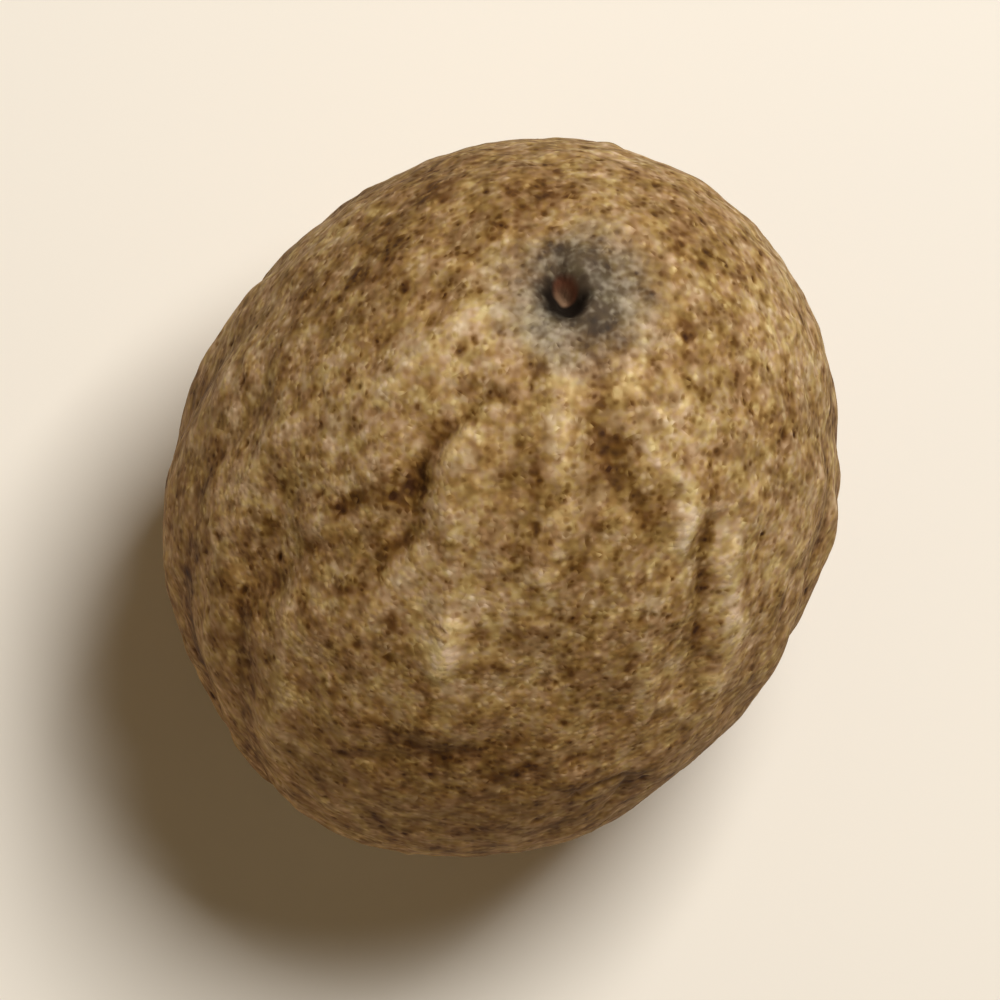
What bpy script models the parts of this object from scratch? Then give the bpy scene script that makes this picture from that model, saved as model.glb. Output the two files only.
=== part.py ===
"""A whole nutmeg: the dried seed, as one solid that rests on a small flat spot.

The seed is an ovoid with two poles. The chalaza is the narrower end, with a small deep pit. The
hilum is the broader end, with a low round scar. They aren't quite at the ends of the long axis, so
every line on the skin is laid out from pole to pole: its colatitude is counted from the pit (0) to
the scar (180), and its longitude round the line between them, with 0 on the raphe side, which faces
up and forwards, and positive to the right.

In the seed's own axes +Z runs along its length to the chalaza end. The part's frame has +Z up, with
the origin under the middle of the seed, on the surface that it rests on.
"""

import math

import bmesh
import bpy
import numpy as np
from mathutils import Euler, Vector

MM = 0.001

# Driving dimensions of the ovoid.
LENGTH = 26.2 * MM
WIDTH = 20.2 * MM
TAPER = 0.03  # how much broader than the middle the hilum end is, and narrower the other
FLAT_DEPTH = 0.45 * MM  # what the resting spot takes off the lowest point

# How the seed leans: its chalaza end up, and turned towards the back right.
LEAN = math.radians(41.5)
HEADING = math.radians(57.0)

# The poles, as directions in the seed's own axes.
CHALAZA = Vector((-0.24, 0.20, 0.95)).normalized()
HILUM = Vector((-0.25, -0.10, -0.96)).normalized()
FRONT = Vector((-0.81, -0.58, 0.10))  # longitude 0, before it is squared to the poles' line

# The grid of faces: squares on each side of a rounded cube, drawn together round the pit.
SQUARES = 28
GATHER = 0.60
GATHER_SPREAD = math.radians(20.0)

# The pit at the chalaza, in the bottom of a wide shallow hollow.
PIT_RADIUS = 0.95 * MM
PIT_DEPTH = 1.00 * MM
HOLLOW_RADIUS = 2.6 * MM
HOLLOW_DEPTH = 0.22 * MM

# The scar at the hilum: a low round table with a pinhole in its middle.
SCAR_RADIUS = 3.1 * MM
SCAR_EDGE = 0.55 * MM
SCAR_HEIGHT = 0.32 * MM
PINHOLE_RADIUS = 0.60 * MM
PINHOLE_DEPTH = 0.45 * MM

# Broad swellings and flats: colatitude, longitude and spread in degrees, height in mm.
SWELLINGS = {
    "underside": (110, 144, 20, 1.50),
    "lower left flat": (130, -86, 15, -0.32),
    "lower bulge": (146, -10, 14, 0.12),
    "lower corner": (126, 36, 8, 0.12),
    "lower right flat": (110, 56, 13, -0.20),
    "upper left shoulder": (62, -152, 18, 0.12),
    "face": (46, 10, 20, 0.14),
    "left cheek": (92, -36, 20, 0.16),
    "left dip": (64, -72, 14, -0.16),
    "right dip": (84, 14, 14, -0.12),
    "back flat": (84, -168, 24, -0.18),
}

# Raised veins and sunk furrows of the face. Half-width and height in mm, then (colatitude,
# longitude) waypoints in degrees.
VEINS = {
    "middle": (0.80, 0.17, ((12, -12), (26, -2), (37, 1), (50, 1), (66, -5))),
    "right": (0.50, 0.21, ((17, 20), (29, 25), (37, 34), (46, 38), (51, 32), (61, 27))),
    "far right": (0.60, 0.15, ((36, 58), (47, 49), (55, 49), (63, 43), (84, 46))),
    "left": (0.60, 0.19, ((26, -34), (41, -36), (51, -32), (63, -23), (76, -19))),
    "upper left": (0.60, 0.12, ((10, -62), (20, -78), (32, -84))),
    "foot": (0.60, 0.14, ((92, 22), (104, 12), (118, 14), (134, 22))),
    "left foot": (0.65, 0.16, ((92, -58), (106, -52), (122, -60), (142, -56))),
}
FURROWS = {
    "raphe": (0.65, 0.19, ((8, 14), (20, 14), (34, 11), (47, 8), (63, 5), (84, 0), (110, -6))),
    "left": (0.50, 0.34, ((21, -44), (28, -50), (35, -52), (42, -51), (50, -46), (58, -45), (72, -47))),
    "left branch": (0.80, 0.20, ((54, -48), (64, -58), (76, -64), (92, -72))),
    "right": (0.75, 0.17, ((52, 30), (64, 36), (76, 35), (90, 34))),
    "upper": (0.60, 0.10, ((12, 178), (24, 172), (40, 178))),
    "low cross": (0.50, 0.12, ((106, -30), (99, -18), (93, -7), (96, 4))),
    "fold": (0.45, 0.20, ((100, 28), (108, 33), (117, 33))),
}

# Furrows that run from pole to pole round the back, one every BACK_STEP degrees of longitude. Where
# they start and end, and how deep they are, goes by turns through the tuples.
BACK_FROM = 78
BACK_TO = 300
BACK_STEP = 20
BACK_HALF_WIDTH = 0.75 * MM
BACK_DEPTHS = (0.22 * MM, 0.11 * MM, 0.16 * MM, 0.20 * MM)
BACK_STARTS = (46, 55, 64)
BACK_ENDS = (158, 150)
BACK_WAYPOINTS = 7

# How far they wander sideways, in two waves: degrees of longitude, degrees of colatitude for each
# radian of the wave, and the radians that the wave shifts from one furrow to the next.
BACK_WAVES = ((7.0, 19.0, 1.7), (3.5, 8.0, 2.9))

# Places sampled between each two waypoints of a line, and the shares of its length over which it
# fades in and out.
FINENESS = 6
FADE_IN = 0.18
FADE_OUT = 0.25

SKIN_COLOUR = (0.242, 0.138, 0.052, 1.0)
SKIN_ROUGHNESS = 0.72


def clear_scene():
    """Removes everything that the file opened with."""
    for obj in list(bpy.data.objects):
        bpy.data.objects.remove(obj, do_unlink=True)


def smooth_step(x):
    """0 below 0, 1 above 1, and an even slope between."""
    x = np.clip(x, 0.0, 1.0)
    return x * x * (3.0 - 2.0 * x)


def pole_axes():
    """The point halfway between the poles, and the axes of longitude round the line through it."""
    middle = (CHALAZA + HILUM) / 2
    along = (CHALAZA - HILUM).normalized()
    front = (FRONT - FRONT.dot(along) * along).normalized()
    right = along.cross(front)
    return middle, along, front, right


def direction(colatitude, longitude):
    """The unit direction at a place between the poles, from angles in degrees."""
    middle, along, front, right = pole_axes()
    c, l = math.radians(colatitude), math.radians(longitude)
    ray = along * math.cos(c) + (front * math.cos(l) + right * math.sin(l)) * math.sin(c)
    inner = middle.dot(ray)
    reach = -inner + math.sqrt(inner * inner - middle.length_squared + 1.0)
    return np.array(middle + ray * reach)


def ovoid(units):
    """Points of the bare ovoid for an array of unit directions, and its outward normals there."""
    half = np.array((WIDTH / 2, WIDTH / 2, LENGTH / 2))
    girth = 1.0 - TAPER * units[:, 2:3]
    points = units * half
    points[:, :2] *= girth
    normals = units / half
    return points, normals / np.linalg.norm(normals, axis=1, keepdims=True)


def rounded_cube():
    """A mesh of even squares on the unit sphere."""
    mesh = bmesh.new()
    bmesh.ops.create_cube(mesh, size=2.0)
    bmesh.ops.subdivide_edges(mesh, edges=mesh.edges[:], cuts=SQUARES - 1, use_grid_fill=True)
    for vertex in mesh.verts:
        vertex.co = Vector([math.tan(c * math.pi / 4) for c in vertex.co]).normalized()
    return mesh


def gathered(units):
    """The unit directions drawn in towards the pit, where the shape is finest."""
    pit = np.array(CHALAZA)
    angle = np.arccos(np.clip(units @ pit, -1.0, 1.0))[:, None]
    sideways = units - (units @ pit)[:, None] * pit
    sideways /= np.maximum(np.linalg.norm(sideways, axis=1, keepdims=True), 1e-9)
    nearer = angle * (1.0 - GATHER * np.exp(-((angle / GATHER_SPREAD) ** 2)))
    return np.cos(nearer) * pit + np.sin(nearer) * sideways


def swelling_heights(units):
    """How far the broad swellings and flats lift or sink the surface."""
    heights = np.zeros(len(units))
    for colatitude, longitude, spread, height in SWELLINGS.values():
        angle = np.arccos(np.clip(units @ direction(colatitude, longitude), -1.0, 1.0))
        heights += height * MM * np.exp(-((angle / math.radians(spread)) ** 2))
    return heights


def curve_through(waypoints):
    """Points along a smooth curve through a line's waypoints, on the bare ovoid."""
    ends = [waypoints[0], *waypoints, waypoints[-1]]
    places = []
    for a, b, c, d in zip(ends, ends[1:], ends[2:], ends[3:]):
        a, b, c, d = (np.array(w, float) for w in (a, b, c, d))
        for t in np.arange(FINENESS) / FINENESS:
            bend = 2 * a - 5 * b + 4 * c - d
            twist = 3 * b - a - 3 * c + d
            places.append(0.5 * (2 * b + (c - a) * t + bend * t * t + twist * t**3))
    places.append(np.array(waypoints[-1], float))
    return ovoid(np.array([direction(*place) for place in places]))[0]


def line_profile(points, line, half_width):
    """How strongly a line marks each point: 1 on it, fading to its sides and towards its ends."""
    nearest = np.full(len(points), np.inf)
    share = np.zeros(len(points))
    for i, (start, end) in enumerate(zip(line, line[1:])):
        run = end - start
        t = np.clip((points - start) @ run / (run @ run), 0.0, 1.0)
        distance = np.linalg.norm(points - start - t[:, None] * run, axis=1)
        closer = distance < nearest
        nearest[closer] = distance[closer]
        share[closer] = ((i + t) / (len(line) - 1))[closer]
    ends = smooth_step(share / FADE_IN) * smooth_step((1.0 - share) / FADE_OUT)
    return np.exp(-((nearest / half_width) ** 2)) * ends


def back_lines():
    """Depth and waypoints of the furrows round the back, each wandering in its own way."""
    for i, longitude in enumerate(range(BACK_FROM, BACK_TO + 1, BACK_STEP)):
        first, last = BACK_STARTS[i % len(BACK_STARTS)], BACK_ENDS[i % len(BACK_ENDS)]
        steps = np.linspace(first, last, BACK_WAYPOINTS)
        sway = sum(reach * np.sin(steps / pace + shift * i) for reach, pace, shift in BACK_WAVES)
        yield BACK_DEPTHS[i % len(BACK_DEPTHS)], list(zip(steps, longitude + sway))


def line_heights(points):
    """The height that all veins and furrows add at each point of the bare ovoid."""
    heights = np.zeros(len(points))
    for sign, lines in ((1, VEINS), (-1, FURROWS)):
        for half_width, height, waypoints in lines.values():
            profile = line_profile(points, curve_through(waypoints), half_width * MM)
            heights += sign * height * MM * profile
    for depth, waypoints in back_lines():
        heights -= depth * line_profile(points, curve_through(waypoints), BACK_HALF_WIDTH)
    return heights


def chalaza_heights(points):
    """The pit and the hollow round it."""
    pole = ovoid(np.array([CHALAZA]))[0][0]
    distance = np.linalg.norm(points - pole, axis=1)
    pit = PIT_DEPTH * (1.0 - smooth_step(distance / PIT_RADIUS))
    hollow = HOLLOW_DEPTH * np.exp(-((distance / HOLLOW_RADIUS) ** 2))
    return -pit - hollow


def hilum_heights(points):
    """The scar's low table and the pinhole in it."""
    pole = ovoid(np.array([HILUM]))[0][0]
    distance = np.linalg.norm(points - pole, axis=1)
    table = SCAR_HEIGHT * (1.0 - smooth_step((distance - SCAR_RADIUS) / SCAR_EDGE + 0.5))
    pinhole = PINHOLE_DEPTH * (1.0 - smooth_step(distance / PINHOLE_RADIUS))
    return table - pinhole


def shaped_points(units):
    """Every point of the seed's surface, in its own axes."""
    points, normals = ovoid(units)
    heights = swelling_heights(units) + line_heights(points)
    heights += chalaza_heights(points) + hilum_heights(points)
    return points + heights[:, None] * normals


def cut_flat(mesh, foot, down):
    """Cuts off what lies beyond foot in the direction down, and closes the cut with a fan."""
    everything = mesh.verts[:] + mesh.edges[:] + mesh.faces[:]
    bmesh.ops.bisect_plane(mesh, geom=everything, plane_co=foot, plane_no=down, clear_outer=True)
    rim = [edge for edge in mesh.edges if edge.is_boundary]
    floor = bmesh.ops.contextual_create(mesh, geom=rim)["faces"]
    bmesh.ops.poke(mesh, faces=floor)
    bmesh.ops.recalc_face_normals(mesh, faces=mesh.faces[:])


def skin_material():
    """Dull brown seed coat."""
    material = bpy.data.materials.new("seed_coat")
    material.use_nodes = True
    shader = material.node_tree.nodes["Principled BSDF"]
    shader.inputs["Base Color"].default_value = SKIN_COLOUR
    shader.inputs["Roughness"].default_value = SKIN_ROUGHNESS
    shader.inputs["Metallic"].default_value = 0.0
    return material


def make_nutmeg():
    """The seed, leaning as it rests, centred over the origin with its flat spot on the ground."""
    mesh = rounded_cube()
    units = gathered(np.array([vertex.co for vertex in mesh.verts]))
    points = shaped_points(units)
    for vertex, point in zip(mesh.verts, points):
        vertex.co = point

    turn = Euler((0.0, LEAN, HEADING))
    standing = points @ np.array(turn.to_matrix()).T
    low, high = standing.min(axis=0), standing.max(axis=0)
    middle = (low + high) / 2
    foot = Vector((middle[0], middle[1], low[2] + FLAT_DEPTH))
    unturned = turn.to_matrix().transposed()
    cut_flat(mesh, unturned @ foot, unturned @ Vector((0.0, 0.0, -1.0)))

    data = bpy.data.meshes.new("nutmeg")
    mesh.to_mesh(data)
    mesh.free()
    data.shade_smooth()
    data.materials.append(skin_material())
    nutmeg = bpy.data.objects.new("nutmeg", data)
    nutmeg.rotation_euler = turn
    nutmeg.location = -foot
    bpy.context.scene.collection.objects.link(nutmeg)
    return nutmeg


clear_scene()
make_nutmeg()
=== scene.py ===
"""Looks of a whole nutmeg: its speckled, veined seed coat laid over the plain solid of the frame.

The seed lies between two poles, the pit (chalaza) and the pale scar (hilum). A place on it is given
by its colatitude, from the pit (0) to the scar (180), and its longitude round the line between them.
"""

import logging
import math
from collections.abc import Iterable
from dataclasses import dataclass
from enum import Enum

import bmesh
import bpy
import numpy as np
from mathutils import Euler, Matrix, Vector


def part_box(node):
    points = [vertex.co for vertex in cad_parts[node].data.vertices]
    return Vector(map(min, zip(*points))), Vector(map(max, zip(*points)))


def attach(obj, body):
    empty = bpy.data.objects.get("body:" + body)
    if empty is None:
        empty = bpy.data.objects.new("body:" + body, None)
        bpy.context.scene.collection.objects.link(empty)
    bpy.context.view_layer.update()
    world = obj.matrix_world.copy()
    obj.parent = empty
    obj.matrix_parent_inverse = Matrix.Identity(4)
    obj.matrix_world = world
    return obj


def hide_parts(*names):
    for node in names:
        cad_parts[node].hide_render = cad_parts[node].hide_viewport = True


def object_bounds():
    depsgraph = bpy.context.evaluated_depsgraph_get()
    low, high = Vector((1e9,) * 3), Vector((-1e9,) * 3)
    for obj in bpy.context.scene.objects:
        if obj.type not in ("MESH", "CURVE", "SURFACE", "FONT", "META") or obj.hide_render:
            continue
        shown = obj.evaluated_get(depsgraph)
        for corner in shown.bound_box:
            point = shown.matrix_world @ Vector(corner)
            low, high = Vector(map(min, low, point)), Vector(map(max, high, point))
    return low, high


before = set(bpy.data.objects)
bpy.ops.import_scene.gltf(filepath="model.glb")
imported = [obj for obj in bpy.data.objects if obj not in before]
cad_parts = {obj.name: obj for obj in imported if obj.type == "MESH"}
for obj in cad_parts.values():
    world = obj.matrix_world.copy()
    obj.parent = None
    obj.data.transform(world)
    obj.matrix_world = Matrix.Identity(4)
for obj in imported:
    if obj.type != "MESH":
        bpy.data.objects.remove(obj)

CAD_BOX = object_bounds()
MM = 0.001
LOG = logging.getLogger("nutmeg")

Colour = tuple[float, float, float]
Place = tuple[float, float]
Span = tuple[float, float]
Warp = tuple[float, float]
Socket = bpy.types.NodeSocket
Feed = Socket | float | int | tuple[float, ...]
Feeds = dict[str | int, Feed]

PIT: Place = (0.0, 0.0)
SCAR: Place = (180.0, 0.0)
WHITE: Colour = (1.0, 1.0, 1.0)
# tan: the scar's own darker brown, and the knob's tip painted as if lit
BARK_AND_LIT_TIP: Colour = (0.150, 0.085, 0.045)
# near black, painted shade in the pit's hole and in the scar's pinhole
HOLE_SHADE: Colour = (0.008, 0.005, 0.003)


def select_only(*objects: bpy.types.Object) -> None:
    """Selects these objects and nothing else, and makes the last one active.

    Args:
        objects: what the next operators act on.
    """
    if bpy.context.mode != "OBJECT":
        bpy.ops.object.mode_set(mode="OBJECT")
    bpy.ops.object.select_all(action="DESELECT")
    for each in objects:
        each.select_set(True)
        bpy.context.view_layer.objects.active = each


def apply_modifier(piece: bpy.types.Object, kind: str, **settings: object) -> None:
    """Gives a piece a modifier and applies it at once.

    Args:
        piece: the mesh object that is changed.
        kind: Blender's name for the type of modifier.
        settings: the modifier's own settings, by name.
    """
    modifier = piece.modifiers.new(kind.title(), kind)
    for name, value in settings.items():
        setattr(modifier, name, value)
    select_only(piece)
    bpy.ops.object.modifier_apply(modifier=modifier.name)


class MarkKind(Enum):
    """What a mark on the seed coat is: whether it rises or sinks, and whether it is pale or dark."""

    VEIN = (1.0, 1.0)
    # a crease is darker in its hollow, partly as painted shade
    CREASE = (-1.0, -1.0)
    STAIN = (0.0, -1.0)
    BLOOM = (0.0, 1.0)

    @property
    def rise(self) -> float:
        """1 for a raised mark, -1 for a sunk one and 0 for a flat one."""
        return self.value[0]

    @property
    def tone(self) -> float:
        """1 for a pale mark and -1 for a dark one."""
        return self.value[1]


@dataclass(frozen=True)
class Mark:
    """A line or a spot that stands out on the seed coat.

    A mark of one place is a round spot. Sizes are in millimetres.
    """

    kind: MarkKind
    half_width: float
    height: float
    strength: float
    places: tuple[Place, ...]


def vein(half_width: float, height: float, strength: float, *places: Place) -> Mark:
    """Describes a raised, pale mark."""
    return Mark(MarkKind.VEIN, half_width, height, strength, places)


def crease(half_width: float, depth: float, strength: float, *places: Place) -> Mark:
    """Describes a sunk mark, darker in its hollow: partly the coat's own brown, partly painted shade.
    """
    return Mark(MarkKind.CREASE, half_width, depth, strength, places)


def stain(half_width: float, strength: float, *places: Place) -> Mark:
    """Describes a flat, dark mark."""
    return Mark(MarkKind.STAIN, half_width, 0.0, strength, places)


def bloom(half_width: float, strength: float, *places: Place) -> Mark:
    """Describes a flat, pale mark."""
    return Mark(MarkKind.BLOOM, half_width, 0.0, strength, places)


VEINS = (
    vein(0.38, 0.05, 1.1, (11, -8), (15, -3), (21, -2), (28, -2), (35, 1)),
    vein(0.5, 0.04, 0.45, (30, -2), (41, 5), (50, 6)),
    vein(0.32, 0.06, 1.2, (17, 22), (26, 33), (34, 40), (40, 41)),
    vein(0.3, 0.05, 0.9, (18, 31), (25, 43), (33, 47), (41, 48)),
    vein(0.36, 0.07, 0.9, (46, 47), (56, 45), (68, 43), (80, 42), (92, 44)),
    vein(0.3, 0.05, 0.6, (61, 21), (70, 24), (80, 27), (92, 29)),
    vein(0.3, 0.1, 1.4, (23, 21), (34, 29), (43, 36), (50, 33), (60, 31)),
    vein(0.34, 0.06, 0.8, (50, 43), (58, 42), (68, 44), (77, 46), (88, 46)),
    vein(0.4, 0.06, 1.0, (26, -36), (35, -40), (44, -32), (50, -29)),
    vein(0.3, 0.04, 0.6, (46, -30), (56, -25), (66, -21), (76, -19)),
    vein(0.34, 0.05, 1.0, (51, -32), (57, -36), (70, -39), (78, -42)),
    vein(0.42, 0.07, 1.1, (8, -84), (15, -82), (22, -81), (31, -79), (42, -77)),
    vein(0.22, 0.03, 0.8, (14, -50), (24, -58), (34, -60)),
    vein(0.36, 0.16, 2.6, (66, -21), (72, -20), (79, -20)),
)
CREASES = (
    crease(0.4, 0.04, 0.5, (8, 19), (14, 20), (17, 17), (25, 15), (35, 13)),
    crease(0.38, 0.05, 0.7, (28, 14), (36, 17), (41, 21), (48, 25), (58, 26)),
    crease(0.5, 0.03, 0.5, (32, 13), (47, 8), (63, 4)),
    crease(0.22, 0.08, 1.3, (23, -42), (28, -45), (33, -49), (40, -50), (46, -48)),
    crease(0.3, 0.06, 1.3, (37, -50), (46, -46), (50, -41), (58, -44), (68, -47)),
    crease(0.34, 0.05, 1.7, (44, -46), (48, -53), (52, -59), (60, -67)),
    crease(0.3, 0.07, 1.1, (46, 42), (59, 37), (72, 36), (87, 38)),
    crease(0.25, 0.05, 0.4, (106, -30), (99, -18), (93, -7)),
    crease(0.22, 0.12, 0.85, (104, 21), (101, 30), (108, 33), (116, 33)),
)
STAINS = (
    stain(1.0, 0.6, (56, -56), (68, -60), (80, -65)),
    stain(0.55, 0.9, (67, -6)),
    stain(0.65, 0.8, (72, 10)),
    stain(0.55, 0.9, (77, -31)),
    stain(0.45, 0.55, (99, -24), (94, -10), (90, 3)),
    stain(0.35, 1.2, (125, -19)),
    stain(0.3, 1.0, (17, -22)),
    stain(0.3, 1.0, (58, -5)),
    stain(0.32, 1.2, (6, 38), (11, 27), (17, 21), (22, 19)),
    stain(0.3, 1.0, (8, 165), (9, 140), (9, 118)),
    stain(0.45, 0.9, (20, 180)),
    stain(0.5, 0.9, (35, -154)),
    stain(0.45, 0.8, (38, -123)),
    stain(0.5, 0.6, (33, 97)),
    stain(2.2, 1.1, (46, -128), (36, -142), (24, 180), (23, 135), (31, 104), (36, 96)),
    stain(1.5, 0.5, (53, 68)),
    # darkens the lower half broadly: painted shade, as if from dark surroundings below
    stain(4.0, 0.65, (124, -70), (112, -30), (108, 5), (100, 45)),
    stain(1.6, 0.8, (15, -162)),
    stain(1.4, 1.0, (73, -39)),
    stain(1.6, 0.5, (94, 3)),
    stain(2.2, 0.4, (66, 14)),
    stain(1.8, 0.5, (37, -140)),
    stain(0.55, 0.7, (49, 73)),
    stain(0.9, 0.4, (57, 9)),
    stain(0.8, 0.45, (101, -40), (98, -22), (98, -4), (100, 12)),
    stain(0.5, 0.6, (16, 12), (26, 13), (33, 15), (39, 20), (48, 26)),
    stain(1.5, 0.45, (47, -25)),
    stain(1.5, 0.4, (45, 2)),
    stain(1.5, 0.4, (67, 24), (85, 11)),
)
BLOOMS = (
    bloom(0.55, 0.8, (98, -28)),
    bloom(0.55, 0.8, (18, 152)),
    bloom(0.5, 0.8, (15, -156)),
    bloom(0.45, 0.7, (12, 73)),
    bloom(1.9, 0.5, (29, -66)),
    bloom(1.6, 0.9, (35, -93)),
    bloom(1.6, 0.6, (30, -40)),
    bloom(1.3, 0.8, (24, -1)),
    bloom(1.5, 0.6, (26, 44)),
    bloom(0.6, 0.9, (76, 27)),
    bloom(0.6, 0.9, (69, 57)),
    bloom(0.7, 0.7, (44, 80)),
    bloom(0.55, 0.7, (22, 147)),
    bloom(2.6, 0.8, (112, -34)),
    bloom(2.2, 0.8, (108, -62)),
    # these two pale lips beside the pit are painted light, where its rim catches the lamp
    bloom(0.25, 1.2, (6, -101)),
    bloom(0.32, 1.4, (7, -36)),
    bloom(0.45, 0.9, (28, 18)),
    bloom(1.4, 0.4, (42, -69)),
    bloom(2.0, 0.35, (112, -6)),
)


@dataclass(frozen=True)
class FarSide:
    """The furrows and veins that run round the far side from pole to pole, by turns.

    Angles are in degrees. A furrow, a vein and a ray are given by their half width, their height and
    their strength, and a wave by its reach, its pace and its shift from one line to the next.
    """

    first: float = 78.0
    last: float = 300.0
    step: float = 20.0
    starts: tuple[float, ...] = (46.0, 55.0, 64.0)
    ends: tuple[float, ...] = (158.0, 150.0)
    waypoints: int = 7
    waves: tuple[tuple[float, float, float], ...] = ((7.0, 19.0, 1.7), (3.5, 8.0, 2.9))
    furrow: tuple[float, float, float] = (0.5, 0.05, 0.75)
    vein: tuple[float, float, float] = (0.42, 0.07, 0.65)
    rays: int = 18
    ray: tuple[float, float, float] = (0.26, 0.06, 0.9)
    ray_span: Span = (146.0, 171.0)
    ray_bend: float = 5.0
    ray_shift: float = 2.3

    def marks(self) -> tuple[Mark, ...]:
        """Lays out the furrows with a vein between each two, and the rays round the scar.

        Returns:
            The marks.
        """
        marks = []
        for i, longitude in enumerate(np.arange(self.first, self.last + 1.0, self.step)):
            marks.append(crease(*self.furrow, *self.wander(i, longitude)))
            marks.append(vein(*self.vein, *self.wander(i + 0.5, longitude + self.step / 2)))
        outer, inner = self.ray_span
        for i in range(self.rays):
            kind = crease if i % 2 else vein
            longitude = 360.0 * i / self.rays
            bend = self.ray_bend * math.sin(self.ray_shift * i)
            marks.append(kind(*self.ray, (outer + bend, longitude + bend), (inner, longitude - bend)))
        return tuple(marks)

    def wander(self, turn: float, longitude: float) -> tuple[Place, ...]:
        """Draws one line that sways as it goes from the pit's side to the scar's.

        Args:
            turn: which line it is, counted from 0.
            longitude: the longitude that it keeps to.

        Returns:
            Its places.
        """
        start = self.starts[int(turn) % len(self.starts)]
        end = self.ends[int(turn) % len(self.ends)]
        steps = np.linspace(start, end, self.waypoints)
        sway = 0.0
        for reach, pace, shift in self.waves:
            sway += reach * np.sin(steps / pace + shift * turn)
        return tuple(zip(steps, longitude + sway))


@dataclass(frozen=True)
class SeedLayout:
    """Where the seed lies in the frame, and how places on it are found."""

    centre: Vector
    length: float = 26.2 * MM
    width: float = 20.2 * MM
    lean: float = math.radians(41.5)
    heading: float = math.radians(57.0)
    chalaza: Vector = Vector((-0.24, 0.2, 0.95)).normalized()
    hilum: Vector = Vector((-0.25, -0.1, -0.96)).normalized()
    front: Vector = Vector((-0.81, -0.58, 0.1))
    fineness: int = 8

    @property
    def turn(self) -> Euler:
        """How the seed's own axes are turned in the frame."""
        return Euler((0.0, self.lean, self.heading))

    @property
    def poles_line(self) -> Vector:
        """The direction in the frame from the scar to the pit."""
        along = (self.chalaza - self.hilum).normalized()
        return self.turn.to_matrix() @ along

    @property
    def pit_axis(self) -> Vector:
        """The direction in the frame that stands square on the ovoid at the pit."""
        x, y, z = self.chalaza
        return self.turn.to_matrix() @ Vector((x, y, z * self.width / self.length)).normalized()

    def on_ovoid(self, unit: Vector) -> Vector:
        """Puts a direction of the seed's own axes on the bare ovoid, in the frame, in metres."""
        half = Vector((unit.x * self.width, unit.y * self.width, unit.z * self.length)) / 2
        return self.centre + self.turn.to_matrix() @ half

    def place(self, colatitude: float, longitude: float) -> Vector:
        """Finds a place that is given by its two angles.

        Args:
            colatitude: degrees from the pit towards the scar.
            longitude: degrees round the line between them.

        Returns:
            The point of the bare ovoid in the frame, in metres.
        """
        middle = (self.chalaza + self.hilum) / 2
        along = (self.chalaza - self.hilum).normalized()
        front = (self.front - self.front.dot(along) * along).normalized()
        side = along.cross(front)
        down = math.radians(colatitude)
        about = math.radians(longitude)
        ray = along * math.cos(down)
        ray += (front * math.cos(about) + side * math.sin(about)) * math.sin(down)
        inner = middle.dot(ray)
        reach = math.sqrt(inner * inner - middle.length_squared + 1.0) - inner
        return self.on_ovoid(middle + ray * reach)

    def line(self, places: tuple[Place, ...]) -> np.ndarray:
        """Draws a smooth line through places on the ovoid.

        Args:
            places: the pairs of angles that it passes through, in order.

        Returns:
            Its points in the frame, in metres, one row each.
        """
        ends = [places[0], *places, places[-1]]
        drawn = []
        for quad in zip(ends, ends[1:], ends[2:], ends[3:]):
            a, b, c, d = (np.array(each, float) for each in quad)
            bend, twist = 2 * a - 5 * b + 4 * c - d, 3 * b - a - 3 * c + d
            for t in np.arange(self.fineness) / self.fineness:
                drawn.append(0.5 * (2 * b + (c - a) * t + bend * t * t + twist * t**3))
        drawn.append(np.array(places[-1], float))
        return np.array([self.place(*each) for each in drawn])


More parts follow.
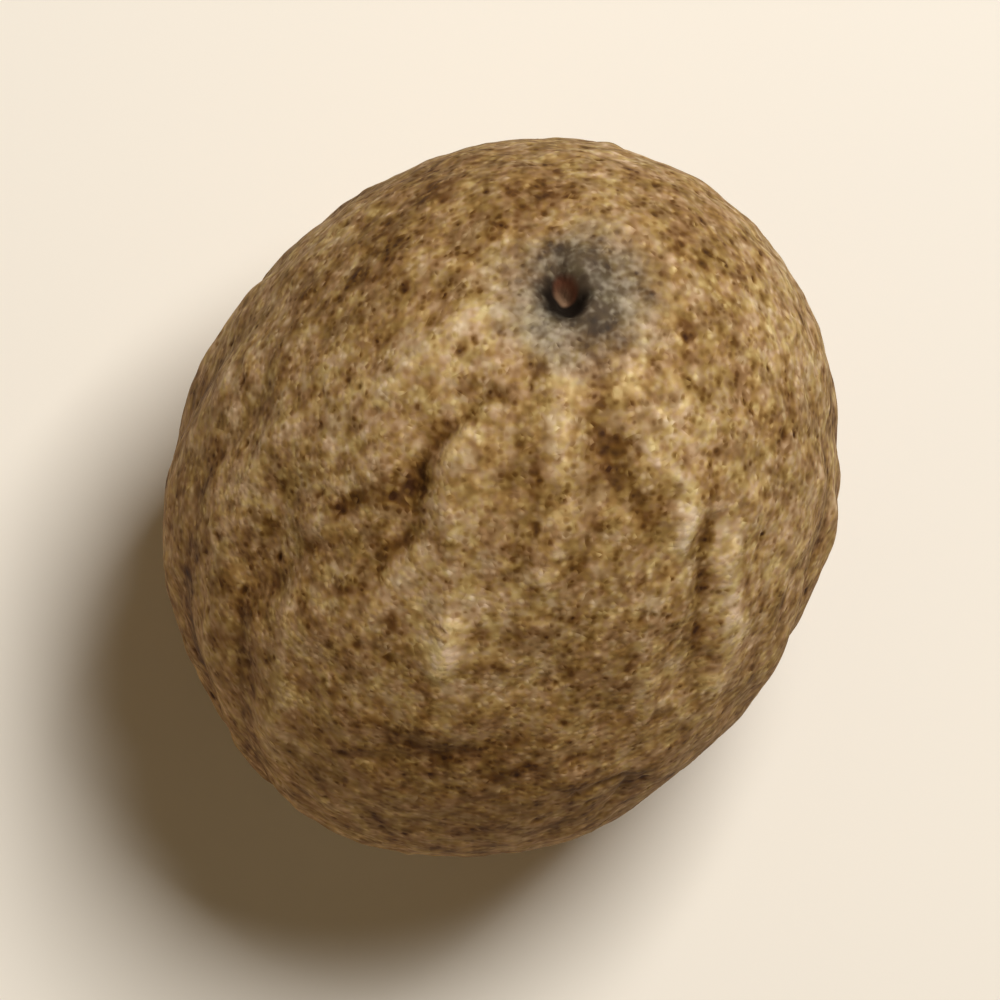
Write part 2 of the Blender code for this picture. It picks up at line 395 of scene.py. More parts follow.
class Wires:
    """Adds nodes to one node tree and joins them up."""

    def __init__(self, tree: bpy.types.NodeTree) -> None:
        """Keeps the tree that the nodes go in."""
        self.tree = tree

    def feed(self, socket: Socket, feed: Feed) -> None:
        """Puts something into an input.

        Args:
            socket: the input.
            feed: another node's output, or a plain value.
        """
        if isinstance(feed, Socket):
            self.tree.links.new(feed, socket)
        elif socket.type == "RGBA":
            socket.default_value = (*feed, 1.0)
        else:
            socket.default_value = feed

    def add(self, kind: str, feeds: Feeds | None = None, **settings: object) -> bpy.types.Node:
        """Adds a node.

        Args:
            kind: Blender's name for the type of node.
            feeds: what goes in each input, by the input's name, identifier or number.
            settings: the node's own settings, by name.

        Returns:
            The new node.
        """
        node = self.tree.nodes.new(kind)
        for name, value in settings.items():
            setattr(node, name, value)
        for key, feed in (feeds or {}).items():
            named = [s for i, s in enumerate(node.inputs) if key in (i, s.name, s.identifier)]
            in_use = [socket for socket in named if socket.enabled]
            self.feed((in_use or named)[0], feed)
        return node

    def math(self, operation: str, *feeds: Feed, clamp: bool = False) -> Socket:
        """Adds a Math node and returns its result, which clamp keeps between 0 and 1."""
        numbered = dict(enumerate(feeds))
        return self.add("ShaderNodeMath", numbered, operation=operation, use_clamp=clamp).outputs[0]

    def vector(self, operation: str, *feeds: Feed) -> Socket:
        """Adds a Vector Math node.

        Args:
            operation: Blender's name for what it does.
            feeds: its inputs in order; the input of SCALE that is a number is fed by name.

        Returns:
            Its number for an operation that gives one, and otherwise its vector.
        """
        named: Feeds = dict(enumerate(feeds))
        if operation == "SCALE":
            named["Scale"] = named.pop(1)
        node = self.add("ShaderNodeVectorMath", named, operation=operation)
        gives_number = operation in ("DOT_PRODUCT", "LENGTH", "DISTANCE")
        return node.outputs["Value" if gives_number else "Vector"]

    def slope(self, value: Feed, span: Span, start: Feed = 0.0, end: Feed = 1.0) -> Socket:
        """Maps a span of values onto start to end, with soft ends.

        Args:
            value: what is mapped.
            span: the values that give start and end.
            start: the result at and before the span.
            end: the result at and past it.

        Returns:
            The mapped value.
        """
        low, high = span
        feeds = {"Value": value, "From Min": low, "From Max": high, "To Min": start, "To Max": end}
        node = self.add("ShaderNodeMapRange", feeds, interpolation_type="SMOOTHSTEP")
        return node.outputs["Result"]

    def fall(self, value: Feed, span: Span, top: Feed = 1.0) -> Socket:
        """Maps a span of values onto top to 0, with soft ends."""
        return self.slope(value, span, top, 0.0)

    def voronoi(self, vector: Feed, scale: float, feature: str = "F1", **feeds: Feed) -> bpy.types.Node:
        """Divides space into uneven cells.

        Args:
            vector: the coordinates.
            scale: cells in each unit of length.
            feature: Blender's name for what is measured.
            feeds: what goes in its other inputs, by name.

        Returns:
            The node, whose outputs are the distance from a cell's middle and the cell's colour.
        """
        feeds = {"Vector": vector, "Scale": scale, **feeds}
        return self.add("ShaderNodeTexVoronoi", feeds, feature=feature)

    def lots(self, cells: bpy.types.Node) -> bpy.types.NodeOutputs:
        """Draws three lots from 0 to 1 for each cell, named X, Y and Z."""
        return self.add("ShaderNodeSeparateXYZ", {0: cells.outputs["Color"]}).outputs

    def warped(self, vector: Feed, scale: float, reach: float) -> Socket:
        """Moves a vector about by noise.

        Args:
            vector: the coordinates that are moved.
            scale: how fine the noise is.
            reach: the furthest that a point moves, nearly.

        Returns:
            The moved coordinates.
        """
        noise = self.add("ShaderNodeTexNoise", {"Vector": vector, "Scale": scale, "Detail": 1.0})
        shift = self.vector("SUBTRACT", noise.outputs["Color"], (0.5, 0.5, 0.5))
        return self.vector("ADD", vector, self.vector("SCALE", shift, 2.0 * reach))

    def mix(self, share: Feed, first: Feed, second: Feed, blend: str = "MIX") -> Socket:
        """Mixes two colours.

        Args:
            share: how much of the second colour there is, from 0 to 1.
            first: the colour at 0.
            second: the colour at 1, or what blends with the first.
            blend: Blender's name for the way of mixing.

        Returns:
            The mixed colour.
        """
        feeds = {"Factor_Float": share, "A_Color": first, "B_Color": second}
        node = self.add("ShaderNodeMix", feeds, data_type="RGBA", blend_type=blend)
        return next(s for s in node.outputs if s.identifier == "Result_Color")


@dataclass(frozen=True)
class Clouds:
    """Soft patches of every size, with values around 0, mostly between -0.5 and 0.5.

    As for all the patterns below, the scale is in patches for each millimetre.
    """

    scale: float
    detail: float
    roughness: float

    def draw(self, wires: Wires, place: Feed) -> Socket:
        """Draws the patches at coordinates in millimetres."""
        feeds = {"Scale": self.scale, "Detail": self.detail, "Roughness": self.roughness}
        return wires.add("ShaderNodeTexNoise", {"Vector": place, **feeds}, normalize=False).outputs[0]


@dataclass(frozen=True)
class Grains:
    """Rounded grains side by side, each with a tone of its own.

    Sizes are shares of a grain.
    """

    scale: float
    warp_scale: float = 1.3
    warp_reach: float = 0.11
    dome: Span = (0.1, 0.68)

    def draw(self, wires: Wires, place: Feed) -> tuple[Socket, Socket]:
        """Draws the grains.

        Args:
            wires: the node tree.
            place: the coordinates.

        Returns:
            The height, 1 in a grain's middle and 0 at its edge, and the tone, from -1 to 1.
        """
        warped = wires.warped(place, self.warp_scale * self.scale, self.warp_reach / self.scale)
        cells = wires.voronoi(warped, self.scale)
        dome = wires.fall(cells.outputs["Distance"], self.dome)
        lot = wires.math("MULTIPLY_ADD", wires.lots(cells)["X"], 2.0, -1.0)
        return dome, wires.math("MULTIPLY", dome, lot)


@dataclass(frozen=True)
class Dimples:
    """Dimples of uneven depth, side by side, with thin walls between them.

    Sizes are shares of a dimple.
    """

    scale: float
    warp_scale: float = 1.2
    warp_reach: float = 0.13
    softness: float = 0.45
    bowl: Span = (0.05, 0.6)
    lots: Span = (0.25, 0.75)
    least: float = 0.35

    def draw(self, wires: Wires, place: Feed) -> Socket:
        """Draws the dimples.

        Args:
            wires: the node tree.
            place: the coordinates.

        Returns:
            The depth, nearly 1 in the middle of a deep dimple and 0 on the walls.
        """
        warped = wires.warped(place, self.warp_scale * self.scale, self.warp_reach / self.scale)
        cells = wires.voronoi(warped, self.scale, "SMOOTH_F1", Smoothness=self.softness)
        depth = wires.slope(wires.lots(cells)["X"], self.lots, self.least, 1.0)
        return wires.fall(cells.outputs["Distance"], self.bowl, depth)


@dataclass(frozen=True)
class Pores:
    """Small uneven holes, one in some of the cells that the coat is divided into.

    The radius of the largest hole is a share of a cell. Other sizes are shares of a hole.
    """

    scale: float
    radius: float
    frequency: float = 0.6
    least: float = 0.45
    warp_scale: float = 2.0
    warp_reach: float = 0.13
    bowl: Span = (0.2, 1.0)
    rim_place: float = 1.35
    rim_width: float = 0.5
    rim: float = 0.12

    def draw(self, wires: Wires, place: Feed) -> Socket:
        """Draws the pores.

        Args:
            wires: the node tree.
            place: the coordinates.

        Returns:
            1 in a hole, a little under 0 on the rim round it and 0 outside.
        """
        warped = wires.warped(place, self.warp_scale * self.scale, self.warp_reach / self.scale)
        cells = wires.voronoi(warped, self.scale)
        lots = wires.lots(cells)
        least = self.least * self.radius
        size = wires.math("MULTIPLY_ADD", lots["X"], self.radius - least, least)
        out = wires.math("DIVIDE", cells.outputs["Distance"], size)
        off_rim = wires.math("ABSOLUTE", wires.math("SUBTRACT", out, self.rim_place))
        rim = wires.fall(off_rim, (0.0, self.rim_width))
        both = wires.math("MULTIPLY_ADD", rim, -self.rim, wires.fall(out, self.bowl))
        there = wires.math("LESS_THAN", lots["Y"], self.frequency)
        return wires.math("MULTIPLY", both, there)


@dataclass(frozen=True)
class CoatPattern:
    """The patterns of the seed coat, which its relief and its colour share.

    From here on, every coordinate called base is one on the bare ovoid, in millimetres.
    """

    layout: SeedLayout
    stretch: float = 0.7
    lumps: Clouds = Clouds(0.55, 1.5, 0.6)
    mottle: Clouds = Clouds(1.0, 2.0, 1.0)
    coarse: Grains = Grains(2.3)
    fine: Grains = Grains(4.6)
    dimples: Dimples = Dimples(1.5)
    large_pores: Pores = Pores(1.2, 0.3)
    small_pores: Pores = Pores(2.3, 0.36)

    def lengthwise(self, wires: Wires, base: Feed) -> Socket:
        """Draws coordinates together along the seed, so that patterns on them run lengthwise.

        Args:
            wires: the node tree.
            base: the coordinates.

        Returns:
            The new coordinates.
        """
        along = tuple(self.layout.poles_line)
        run = wires.vector("DOT_PRODUCT", base, along)
        less = wires.math("MULTIPLY", run, self.stretch - 1.0)
        return wires.vector("ADD", base, wires.vector("SCALE", along, less))

    def away(self, wires: Wires, base: Feed, place: Place) -> Socket:
        """The distance from a place in millimetres."""
        return wires.vector("DISTANCE", base, tuple(self.layout.place(*place) / MM))


@dataclass(frozen=True)
class Pit:
    """The pit: a steep hollow, the knob that stands in it and the side that the knob leans on.

    Sizes are in millimetres.
    """

    pattern: CoatPattern
    hole_place: Place = (1.6, 20.0)
    hole_radius: float = 0.9
    hole_span: Span = (0.2, 1.1)
    hole_depth: float = 0.5
    hole_warp: Warp = (1.5, 0.24)
    knob_place: Place = (2.5, 136.0)
    knob_radius: float = 0.8
    knob_height: float = 0.26
    knob_warp: Warp = (1.8, 0.08)
    brow_place: Place = (5.6, 126.0)
    brow_radius: float = 1.0
    brow_top: float = 0.2
    brow_height: float = 0.32

    def hole(self, wires: Wires, base: Feed, span: Span) -> Socket:
        """Draws the steep hollow, 1 in it and 0 outside, that fades over a span of its radius."""
        away = self.pattern.away(wires, wires.warped(base, *self.hole_warp), self.hole_place)
        return wires.fall(away, tuple(share * self.hole_radius for share in span))

    def knob(self, wires: Wires, base: Feed) -> Socket:
        """Draws the knob, 1 at its top and 0 at its foot."""
        away = self.pattern.away(wires, wires.warped(base, *self.knob_warp), self.knob_place)
        return wires.fall(away, (0.0, self.knob_radius))

    def brow(self, wires: Wires, base: Feed) -> Socket:
        """Draws the side that the knob leans on, 1 in its middle."""
        away = self.pattern.away(wires, base, self.brow_place)
        return wires.fall(away, (self.brow_top * self.brow_radius, self.brow_radius))

    def height(self, wires: Wires, base: Feed) -> Socket:
        """Adds up the hollow, the side and the knob.

        Args:
            wires: the node tree.
            base: the coordinates.

        Returns:
            The height in metres.
        """
        hole = self.hole(wires, base, self.hole_span)
        height = wires.math("MULTIPLY", hole, -self.hole_depth)
        height = wires.math("MULTIPLY_ADD", self.brow(wires, base), self.brow_height, height)
        height = wires.math("MULTIPLY_ADD", self.knob(wires, base), self.knob_height, height)
        return wires.math("MULTIPLY", height, MM)


@dataclass(frozen=True)
class Scar:
    """The round scar opposite the pit, with a frayed edge and a pinhole. Sizes are in millimetres."""

    pattern: CoatPattern
    radius: float = 3.1
    edge: Span = (0.8, 1.15)
    edge_warp: Warp = (0.9, 0.55)
    pinhole_span: Span = (0.15, 0.5)

    def patch(self, wires: Wires, base: Feed) -> Socket:
        """Draws the scar, 1 on it and 0 outside."""
        away = self.pattern.away(wires, wires.warped(base, *self.edge_warp), SCAR)
        return wires.fall(away, tuple(share * self.radius for share in self.edge))

    def pinhole(self, wires: Wires, base: Feed) -> Socket:
        """Draws the pinhole, 1 in it and 0 outside."""
        return wires.fall(self.pattern.away(wires, base, SCAR), self.pinhole_span)


@dataclass(frozen=True)
class CoatRelief:
    """The fine relief of the coat, as heights in millimetres."""

    pattern: CoatPattern
    pit: Pit
    blur_steps: int = 260
    lump_height: float = 0.12
    dimple_depth: float = 0.020
    pore_depth: float = 0.080
    floor_fade: Span = (0.02, 0.9)

    def tree(self) -> bpy.types.NodeTree:
        """Builds the geometry nodes that raise and sink the coat.

        Returns:
            The node tree. It leaves the attribute "fold", how far a point stands out of its
            surroundings in millimetres, which the finish turns into painted light and shade, and the
            attribute "dimple", how deep in a dimple it lies.
        """
        tree = bpy.data.node_groups.new("CoatRelief", "GeometryNodeTree")
        tree.interface.new_socket("Geometry", in_out="INPUT", socket_type="NodeSocketGeometry")
        tree.interface.new_socket("Geometry", in_out="OUTPUT", socket_type="NodeSocketGeometry")
        wires = Wires(tree)
        mesh = wires.add("NodeGroupInput").outputs[0]
        position = wires.add("GeometryNodeInputPosition").outputs[0]
        normal = wires.add("GeometryNodeInputNormal").outputs[0]
        base = self.recall(wires, "base", "FLOAT_VECTOR")

        feeds = {"Value": position, "Iterations": self.blur_steps}
        even = wires.add("GeometryNodeBlurAttribute", feeds, data_type="FLOAT_VECTOR").outputs[0]
        out = wires.vector("DOT_PRODUCT", wires.vector("SUBTRACT", position, even), normal)
        # how far a point stands out: the finish paints light on ridges and shade in hollows by it
        mesh = self.store(wires, mesh, "fold", wires.math("DIVIDE", out, MM))
        dimples = self.pattern.dimples.draw(wires, self.pattern.lengthwise(wires, base))
        mesh = self.store(wires, mesh, "dimple", dimples)

        height = wires.math("ADD", self.recall(wires, "rise", "FLOAT"), self.height(wires, base))
        up = wires.add("ShaderNodeSeparateXYZ", {0: position}).outputs["Z"]
        fade = wires.slope(wires.math("DIVIDE", up, MM), self.floor_fade)
        height = wires.math("MULTIPLY", wires.math("MULTIPLY", height, fade), MM)
        offset = wires.vector("SCALE", normal, height)
        pit = wires.vector("SCALE", tuple(self.pattern.layout.pit_axis), self.pit.height(wires, base))
        feeds = {"Geometry": mesh, "Offset": wires.vector("ADD", offset, pit)}
        moved = wires.add("GeometryNodeSetPosition", feeds)
        wires.add("NodeGroupOutput", {0: moved.outputs[0]})
        return tree

    def height(self, wires: Wires, base: Feed) -> Socket:
        """Adds up the lumps, the dimples and the large pores.

        Args:
            wires: the node tree.
            base: the coordinates.

        Returns:
            The height in millimetres.
        """
        long = self.pattern.lengthwise(wires, base)
        height = wires.math("MULTIPLY", self.pattern.lumps.draw(wires, long), self.lump_height)
        dimple = self.recall(wires, "dimple", "FLOAT")
        height = wires.math("MULTIPLY_ADD", dimple, -self.dimple_depth, height)
        pores = self.pattern.large_pores.draw(wires, long)
        return wires.math("MULTIPLY_ADD", pores, -self.pore_depth, height)

    @staticmethod
    def store(wires: Wires, mesh: Socket, name: str, value: Socket) -> Socket:
        """Stores a number for each point of the mesh, and returns the mesh."""
        feeds = {"Geometry": mesh, "Name": name, "Value": value}
        return wires.add("GeometryNodeStoreNamedAttribute", feeds, data_type="FLOAT").outputs[0]

    @staticmethod
    def recall(wires: Wires, name: str, kind: str) -> Socket:
        """Reads a stored value."""
        return wires.add("GeometryNodeInputNamedAttribute", {"Name": name}, data_type=kind).outputs[0]


@dataclass(frozen=True)
class Tint:
    """A change of hue from patch to patch, between two colours that multiply the coat's."""

    clouds: Clouds
    first: Colour
    second: Colour
    span: Span = (-0.5, 0.5)

    def draw(self, wires: Wires, place: Feed) -> Socket:
        """Draws the tint."""
        share = wires.slope(self.clouds.draw(wires, place), self.span)
        return wires.mix(share, self.first, self.second)


@dataclass(frozen=True)
class CoatFinish:
    """The finish of the bare coat: pale and dark brown grains, dark pores, slow changes of hue, painted
    light and shade.

    The shares say how much each pattern adds to the tone, which runs from 0, the darkest, to 1.
    """

    pattern: CoatPattern
    tones: tuple[tuple[float, Colour], ...] = (
        (0.0, (0.040, 0.014, 0.003)),
        (0.25, (0.118, 0.053, 0.011)),
        (0.5, (0.262, 0.152, 0.053)),
        (0.75, (0.440, 0.298, 0.138)),
        (1.0, (0.640, 0.480, 0.270)),
    )
    middle: float = 0.565
    mottle: float = 0.19
    coarse: float = 0.19
    fine: float = 0.21
    dimple: float = -0.2
    # painted light on what stands out and painted shade in hollows
    fold: float = 0.33
    mark: float = 0.17
    small_pore: float = -0.2
    large_pore: float = -0.3
    redness: Tint = Tint(Clouds(1.1, 2.0, 0.8), (1.025, 0.985, 1.0), (0.98, 1.01, 1.0))
    dust: Tint = Tint(Clouds(1.6, 2.0, 0.9), (1.0, 1.0, 0.84), (1.0, 1.0, 1.16))
    # warmer and browner away from the pit: painted warm bounce light
    warm_bounce: Colour = (1.02, 0.93, 0.78)
    warm_bounce_span: Span = (9.0, 19.0)

    @staticmethod
    def attribute(wires: Wires, name: str, output: str = "Fac") -> Socket:
        """Reads one of the mesh's attributes."""
        return wires.add("ShaderNodeAttribute", attribute_name=name).outputs[output]

    def tone(self, wires: Wires, base: Feed) -> Socket:
        """Adds up how light or dark the coat is, with painted light on ridges and painted shade in
        hollows.

        Args:
            wires: the node tree.
            base: the coordinates.

        Returns:
            The tone.
        """
        pattern = self.pattern
        long = pattern.lengthwise(wires, base)
        parts = (
            (pattern.mottle.draw(wires, base), self.mottle),
            (pattern.coarse.draw(wires, base)[1], self.coarse),
            (pattern.fine.draw(wires, base)[1], self.fine),
            (self.attribute(wires, "dimple"), self.dimple),
            # painted light on ridges and painted shade in hollows
            (self.attribute(wires, "fold"), self.fold),
            (self.attribute(wires, "tone"), self.mark),
            (pattern.small_pores.draw(wires, base), self.small_pore),
            (pattern.large_pores.draw(wires, long), self.large_pore),
        )
        tone: Feed = self.middle
        for part, share in parts:
            tone = wires.math("MULTIPLY_ADD", part, share, tone)
        return tone

    def colour(self, wires: Wires, base: Feed, tone: Feed) -> Socket:
        """Turns the tone into colours, here redder, there greyer, and warmer and browner away from the
        pit: painted warm bounce light.

        Args:
            wires: the node tree.
            base: the coordinates.
            tone: how light or dark the coat is.

        Returns:
            The colour of the coat without its pit and scar.
        """
        ramp = wires.add("ShaderNodeValToRGB", {0: tone})
        stops = ramp.color_ramp.elements
        while len(stops) < len(self.tones):
            stops.new(1.0)
        for stop, (place, colour) in zip(stops, self.tones):
            stop.position = place
            stop.color = (*colour, 1.0)
        # painted warm bounce light, growing away from the pit
        away = self.pattern.away(wires, base, PIT)
        warm_bounced = wires.mix(wires.slope(away, self.warm_bounce_span), WHITE, self.warm_bounce)
        coat = ramp.outputs[0]
        for tint in (self.redness.draw(wires, base), self.dust.draw(wires, base), warm_bounced):
            coat = wires.mix(1.0, coat, tint, "MULTIPLY")
        return coat


@dataclass(frozen=True)
class PitFinish:
    """The finish of the pit: speckled grey bloom round it, painted shade in its hole, a rusty knob with
    a painted lit tip.

    Spans are distances in millimetres, or shares where they are said to be.
    """

    pit: Pit
    ash: Colour = (0.250, 0.217, 0.158)
    slate: Colour = (0.045, 0.036, 0.026)
    rust: Colour = (0.105, 0.034, 0.016)
    bloom_place: Place = (3.5, 62.0)
    bloom_span: Span = (0.9, 3.4)
    bloom_share: float = 0.85
    bloom_warp: Warp = (0.9, 0.7)
    shade: float = 0.52
    shade_span: Span = (0.4, 2.3)
    specks: Grains = Grains(4.4)
    speck_share: float = 0.26
    smudges: Clouds = Clouds(3.2, 1.0, 0.8)
    smudge_share: float = 0.45
    # where the painted near-black shade in the hole lies, as shares of its radius, and how dark it is
    hole_shade_span: Span = (0.65, 1.2)
    hole_shade_share: float = 0.96
    # the knob's tip, painted paler tan as light on it, and how far that reaches
    lit_tip_place: Place = (0.2, 80.0)
    lit_tip_span: Span = (0.15, 0.65)
    knob_colour_span: Span = (0.1, 0.45)
    knob_colour_reach: Span = (0.52, 0.78)

    def over(self, wires: Wires, base: Feed, tone: Feed, coat: Feed) -> Socket:
        """Lays the pit's colours over the coat: the bloom, darker close to the pit, painted hole shade,
        rust and a lit tip.

        Args:
            wires: the node tree.
            base: the coordinates.
            tone: how light or dark the coat is.
            coat: the colour under them.

        Returns:
            The colour with the pit on it.
        """
        pit, pattern = self.pit, self.pit.pattern
        away = pattern.away(wires, wires.warped(base, *self.bloom_warp), self.bloom_place)
        place = wires.add("ShaderNodeTexCoord").outputs["Object"]
        place = wires.vector("SCALE", place, 1.0 / MM)
        specks = self.specks.draw(wires, place)[1]
        speckle = wires.math("MULTIPLY_ADD", specks, self.speck_share, tone)
        smudges = self.smudges.draw(wires, place)
        speckle = wires.math("MULTIPLY_ADD", smudges, self.smudge_share, speckle)
        speckle = wires.math("SUBTRACT", speckle, wires.fall(away, self.shade_span, self.shade))
        grey = wires.mix(wires.slope(speckle, (0.0, 1.0)), self.slate, self.ash)
        share = wires.math("MULTIPLY", wires.fall(away, self.bloom_span), self.bloom_share)
        colour = wires.mix(share, coat, grey)

        # painted shade: near black in the hole, except where the brow fills it
        hole = wires.math("SUBTRACT", pit.hole(wires, base, self.hole_shade_span), pit.brow(wires, base))
        hole_shade = wires.math("MULTIPLY", hole, self.hole_shade_share, clamp=True)
        colour = wires.mix(hole_shade, colour, HOLE_SHADE)

        # the knob: its own rust, with a paler tan tip that is painted light
        away = pattern.away(wires, base, self.lit_tip_place)
        knob_rust_and_lit_tip = wires.mix(wires.fall(away, self.lit_tip_span), self.rust, BARK_AND_LIT_TIP)
        knob = wires.slope(pit.knob(wires, base), self.knob_colour_span)
        share = wires.math("MULTIPLY", knob, wires.fall(away, self.knob_colour_reach))
        return wires.mix(share, colour, knob_rust_and_lit_tip)


@dataclass(frozen=True)
class ScarFinish:
    """The finish of the scar: cream over brown, with a pinhole of painted shade."""

    scar: Scar
    cream: Colour = (0.640, 0.500, 0.300)
    tone_span: Span = (0.1, 0.8)
    share: float = 0.9

    def over(self, wires: Wires, base: Feed, tone: Feed, coat: Feed) -> Socket:
        """Lays the scar's colours over the coat.

        Args:
            wires: the node tree.
            base: the coordinates.
            tone: how light or dark the coat is.
            coat: the colour under them.

        Returns:
            The colour with the scar on it.
        """
        cream = wires.mix(wires.slope(tone, self.tone_span), BARK_AND_LIT_TIP, self.cream)
        share = wires.math("MULTIPLY", self.scar.patch(wires, base), self.share)
        colour = wires.mix(share, coat, cream)
        # the pinhole: painted shade of a hole that the relief doesn't have
        return wires.mix(self.scar.pinhole(wires, base), colour, HOLE_SHADE)


@dataclass(frozen=True)
class SeedCoat:
    """The whole finish of the seed, with the dry, matt surface of its coat."""

    pattern: CoatPattern
    coat: CoatFinish
    pit: PitFinish
    scar: ScarFinish
    roughness: float = 0.72
    specular: float = 0.1
    grain_height: float = 0.012

    def material(self) -> bpy.types.Material:
        """Builds the material.

        Returns:
            The material of the seed.
        """
        material = bpy.data.materials.new("SeedCoat")
        material.use_nodes = True
        wires = Wires(material.node_tree)
        shader = material.node_tree.nodes["Principled BSDF"]
        base = self.coat.attribute(wires, "base", "Vector")
        tone = self.coat.tone(wires, base)
        colour = self.coat.colour(wires, base, tone)
        colour = self.pit.over(wires, base, tone, colour)
        wires.feed(shader.inputs["Base Color"], self.scar.over(wires, base, tone, colour))
        wires.feed(shader.inputs["Roughness"], self.roughness)
        wires.feed(shader.inputs["Specular IOR Level"], self.specular)
        wires.feed(shader.inputs["Normal"], self.bump(wires, base))
        return material

    def bump(self, wires: Wires, base: Feed) -> Socket:
        """Raises the finest grains, which are too small for the mesh.

        Args:
            wires: the node tree.
            base: the coordinates.

        Returns:
            The bumped normal.
        """
        dome = self.pattern.fine.draw(wires, base)[0]
        height = wires.math("MULTIPLY", dome, self.grain_height)
        feeds = {"Height": height, "Strength": 1.0, "Distance": MM}
        return wires.add("ShaderNodeBump", feeds).outputs[0]


@dataclass
class Nutmeg:
    """The seed itself, as one piece that stands for the frame's solid."""

    layout: SeedLayout
    relief: CoatRelief
    coat: SeedCoat
    marks: tuple[Mark, ...]
    levels: int = 7
    gather_radius: float = 1.2 * MM
    gather_reach: float = 5.0 * MM
    gather_share: float = 0.55
    merge_distance: float = 0.001 * MM
    quad_limit: float = math.radians(60)
    form_levels: int = 2
    mark_reach: float = 3.0
    least_run: float = 1e-12
    fade_in: float = 0.15
    fade_out: float = 0.2

    def build(self) -> bpy.types.Object:
        """Models and dresses the seed.

        Returns:
            The finished piece.
        """
        form = self.form()
        piece = self.ovoid()
        self.draw_marks(piece)
        apply_modifier(
            piece, "SHRINKWRAP", target=form, wrap_method="PROJECT", use_negative_direction=True
        )
        apply_modifier(piece, "NODES", node_group=self.relief.tree())
        bpy.data.objects.remove(form, do_unlink=True)
        select_only(piece)
        bpy.ops.object.shade_smooth()
        piece.data.materials.append(self.coat.material())
        return piece

    def form(self) -> bpy.types.Object:
        """Copies the frame's solid, closes it and rounds it off, to lay the coat on.

        Returns:
            The rounded copy, which isn't part of the object.
        """
        select_only(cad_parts["nutmeg"])
        bpy.ops.object.duplicate()
        form = bpy.context.active_object
        bpy.ops.object.mode_set(mode="EDIT")
        bpy.ops.mesh.select_all(action="SELECT")
        bpy.ops.mesh.remove_doubles(threshold=self.merge_distance)
        limit = self.quad_limit
        bpy.ops.mesh.tris_convert_to_quads(face_threshold=limit, shape_threshold=limit)
        bpy.ops.object.mode_set(mode="OBJECT")
        apply_modifier(form, "SUBSURF", levels=self.form_levels, render_levels=self.form_levels)
        return form

    def ovoid(self) -> bpy.types.Object:
        """Makes the bare ovoid as a fine, even net of faces, drawn together round the pit.

        Returns:
            The ovoid, in its place in the frame.
        """
        width = self.layout.width
        bpy.ops.object.select_all(action="DESELECT")
        bpy.ops.mesh.primitive_cube_add(size=width)
        piece = bpy.context.active_object
        piece.name = "seed_coat"
        piece.data.name = "seed_coat"
        apply_modifier(piece, "SUBSURF", levels=self.levels, render_levels=self.levels)
        apply_modifier(piece, "CAST", factor=1.0, use_radius_as_size=False, size=width / 2)
        piece.scale = (1.0, 1.0, self.layout.length / width)
        piece.rotation_euler = self.layout.turn
        piece.location = self.layout.centre
        select_only(piece)
        bpy.ops.object.transform_apply(location=True, rotation=True, scale=True)
        self.gather(piece)
        return piece

    def gather(self, piece: bpy.types.Object) -> None:
        """Draws the faces round the pit together, where the shape is finest.

        Args:
            piece: the bare ovoid.
        """
        pole = self.layout.on_ovoid(self.layout.chalaza)
        bpy.ops.object.mode_set(mode="EDIT")
        bpy.ops.mesh.select_mode(type="VERT")
        bpy.ops.mesh.select_all(action="DESELECT")
        mesh = bmesh.from_edit_mesh(piece.data)
        for vertex in mesh.verts:
            vertex.select = (vertex.co - pole).length < self.gather_radius
        mesh.select_flush(True)
        bmesh.update_edit_mesh(piece.data)
        bpy.ops.transform.resize(
            value=(self.gather_share,) * 3,
            center_override=pole,
            use_proportional_edit=True,
            proportional_edit_falloff="SMOOTH",
            proportional_size=self.gather_reach,
        )
        bpy.ops.object.mode_set(mode="OBJECT")

    def draw_marks(self, piece: bpy.types.Object) -> None:
        """Writes what the marks do to each point as the attributes "rise" and "tone".

        It also keeps the point's place on the bare ovoid, in millimetres, as the attribute "base".

        Args:
            piece: the bare ovoid.
        """
        count = len(piece.data.vertices)
        points = np.empty(count * 3, np.float32)
        piece.data.vertices.foreach_get("co", points)
        points = points.reshape(-1, 3).astype(float)
        rise = np.zeros(count)
        tone = np.zeros(count)
        for mark in self.marks:
            share = self.mark_share(points, mark)
            rise += mark.kind.rise * mark.height * share
            tone += mark.kind.tone * mark.strength * share
        base = piece.data.attributes.new("base", "FLOAT_VECTOR", "POINT")
        base.data.foreach_set("vector", (points / MM).astype(np.float32).ravel())
        for name, values in (("rise", rise), ("tone", tone)):
            attribute = piece.data.attributes.new(name, "FLOAT", "POINT")
            attribute.data.foreach_set("value", values.astype(np.float32))

    def mark_share(self, points: np.ndarray, mark: Mark) -> np.ndarray:
        """Says how strongly a mark shows at each point.

        Args:
            points: the points, one row each, in metres.
            mark: the line or spot.

        Returns:
            1 on the mark, falling to 0 beside it and at a line's ends.
        """
        line = self.layout.line(mark.places)
        width = mark.half_width * MM
        reach = self.mark_reach * mark.half_width * MM
        low, high = line.min(axis=0) - reach, line.max(axis=0) + reach
        close = ((points > low) & (points < high)).all(axis=1)
        near = points[close]
        nearest = np.linalg.norm(near - line[0], axis=1)
        way = np.full(len(near), 0.5)
        for i, (start, end) in enumerate(zip(line, line[1:])):
            run = end - start
            t = np.clip((near - start) @ run / max(run @ run, self.least_run), 0.0, 1.0)
            distance = np.linalg.norm(near - start - t[:, None] * run, axis=1)
            closer = distance < nearest
            nearest[closer] = distance[closer]
            way[closer] = ((i + t) / (len(line) - 1))[closer]
        share = np.exp(-((nearest / width) ** 2))
        if len(mark.places) > 1:
            share *= np.clip(way / self.fade_in, 0.0, 1.0)
            share *= np.clip((1.0 - way) / self.fade_out, 0.0, 1.0)
        shares = np.zeros(len(points))
        shares[close] = share
        return shares


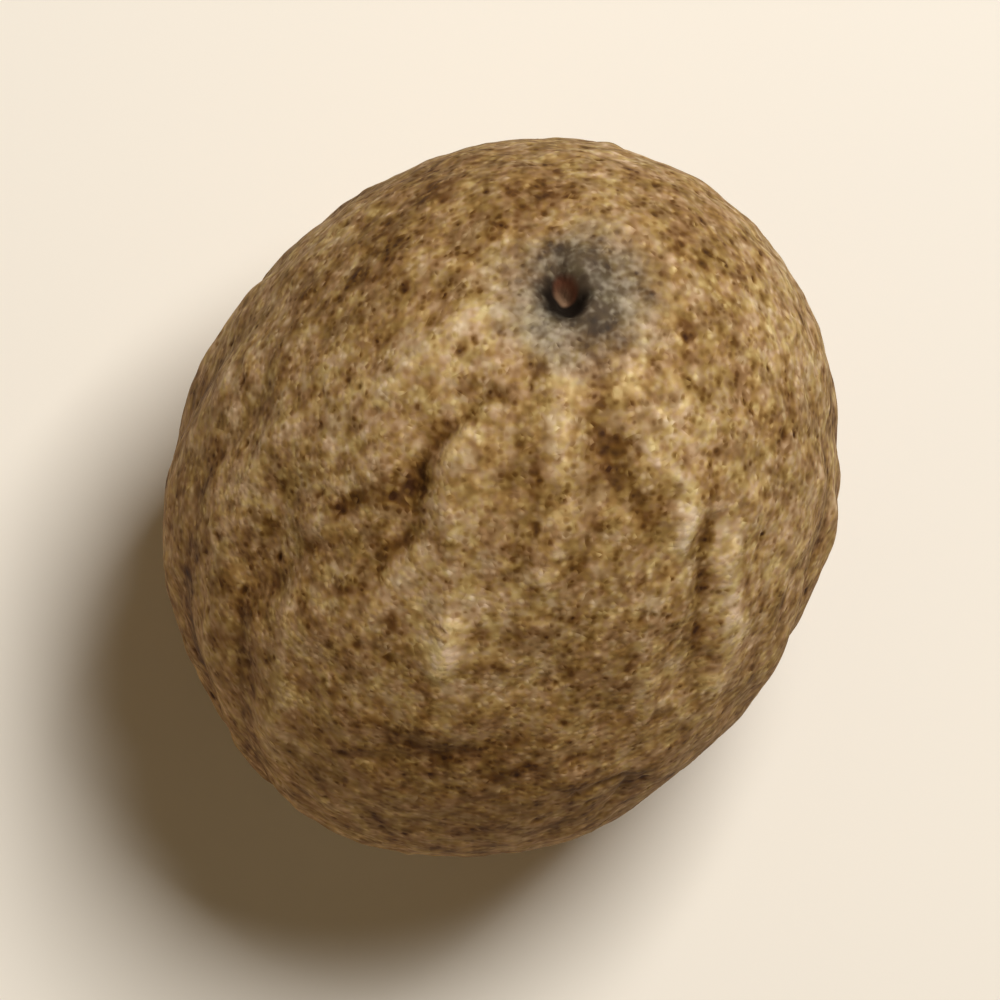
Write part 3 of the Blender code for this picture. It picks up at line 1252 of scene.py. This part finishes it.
@dataclass(frozen=True)
class Lamp:
    """A square lamp. Its place and size are in metres and its power is in watts."""

    name: str
    place: tuple[float, float, float]
    size: float
    power: float
    colour: Colour

    def build(self, target: Vector) -> None:
        """Adds the lamp.

        Args:
            target: the point that it shines on.
        """
        bpy.ops.object.light_add(type="AREA", location=self.place)
        lamp = bpy.context.active_object
        lamp.name = self.name
        lamp.data.size = self.size
        lamp.data.energy = self.power
        lamp.data.color = self.colour
        aim = target - Vector(self.place)
        lamp.rotation_euler = aim.to_track_quat("-Z", "Y").to_euler()


@dataclass
class Studio:
    """The pale floor, the soft lights and the camera that looks straight down."""

    height: float
    lamps: tuple[Lamp, ...] = (
        Lamp("KeyLight", (0.088, 0.113, 0.27), 0.1, 1.06, (1.0, 1.0, 1.02)),
        Lamp("FillLight", (-0.25, -0.1, 0.3), 0.25, 0.1, (1.0, 0.78, 0.48)),
    )
    sky_colour: Colour = (1.0, 0.76, 0.48)
    sky_strength: float = 0.1
    floor_side: float = 0.9
    floor_colour: Colour = (0.8, 0.74, 0.63)
    floor_roughness: float = 0.8
    camera_distance: float = 0.4
    near_limit: float = 0.01
    view_width: float = 31.0 * MM

    def build(self) -> None:
        """Sets up the floor, the lights, the surroundings and the camera."""
        self.floor()
        for lamp in self.lamps:
            lamp.build(Vector((0.0, 0.0, self.height / 2)))
        self.sky()
        self.camera()
        bpy.context.scene.view_settings.view_transform = "Standard"

    def floor(self) -> None:
        """Adds the floor, which isn't part of the object."""
        bpy.ops.object.select_all(action="DESELECT")
        bpy.ops.mesh.primitive_plane_add(size=self.floor_side)
        floor = bpy.context.active_object
        floor.name = "floor"
        material = bpy.data.materials.new("PaleFloor")
        material.use_nodes = True
        shader = material.node_tree.nodes["Principled BSDF"]
        shader.inputs["Base Color"].default_value = (*self.floor_colour, 1.0)
        shader.inputs["Roughness"].default_value = self.floor_roughness
        floor.data.materials.append(material)

    def sky(self) -> None:
        """Lights the scene a little from all round."""
        world = bpy.data.worlds.new("Surroundings")
        bpy.context.scene.world = world
        world.use_nodes = True
        background = world.node_tree.nodes["Background"]
        background.inputs["Color"].default_value = (*self.sky_colour, 1.0)
        background.inputs["Strength"].default_value = self.sky_strength

    def camera(self) -> None:
        """Adds the camera, straight above the seed, with +Y up in its picture."""
        bpy.ops.object.camera_add(location=(0.0, 0.0, self.height / 2 + self.camera_distance))
        camera = bpy.context.active_object
        camera.rotation_euler = (0.0, 0.0, 0.0)
        camera.data.lens = camera.data.sensor_width * self.camera_distance / self.view_width
        camera.data.clip_start = self.near_limit
        bpy.context.scene.camera = camera


def report(piece: bpy.types.Object) -> None:
    """Logs a finished piece's name and size.

    Args:
        piece: the finished piece.
    """
    sides = ", ".join(f"{side / MM:.1f}" for side in piece.dimensions)
    triangles = sum(len(face.vertices) - 2 for face in piece.data.polygons)
    LOG.info("%s: %s mm, %d triangles", piece.name, sides, triangles)


def main() -> None:
    """Builds the seed and the studio round it."""
    logging.basicConfig(level=logging.INFO, format="%(name)s: %(message)s")
    low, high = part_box("nutmeg")
    layout = SeedLayout(centre=(low + high) / 2)
    pattern = CoatPattern(layout)
    pit = Pit(pattern)
    finishes = (CoatFinish(pattern), PitFinish(pit), ScarFinish(Scar(pattern)))
    marks = VEINS + CREASES + STAINS + BLOOMS + FarSide().marks()
    nutmeg = Nutmeg(layout, CoatRelief(pattern, pit), SeedCoat(pattern, *finishes), marks)
    piece = nutmeg.build()
    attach(piece, "root")
    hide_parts("nutmeg")
    report(piece)
    Studio(height=CAD_BOX[1][2]).build()


if __name__ == "__main__":
    main()
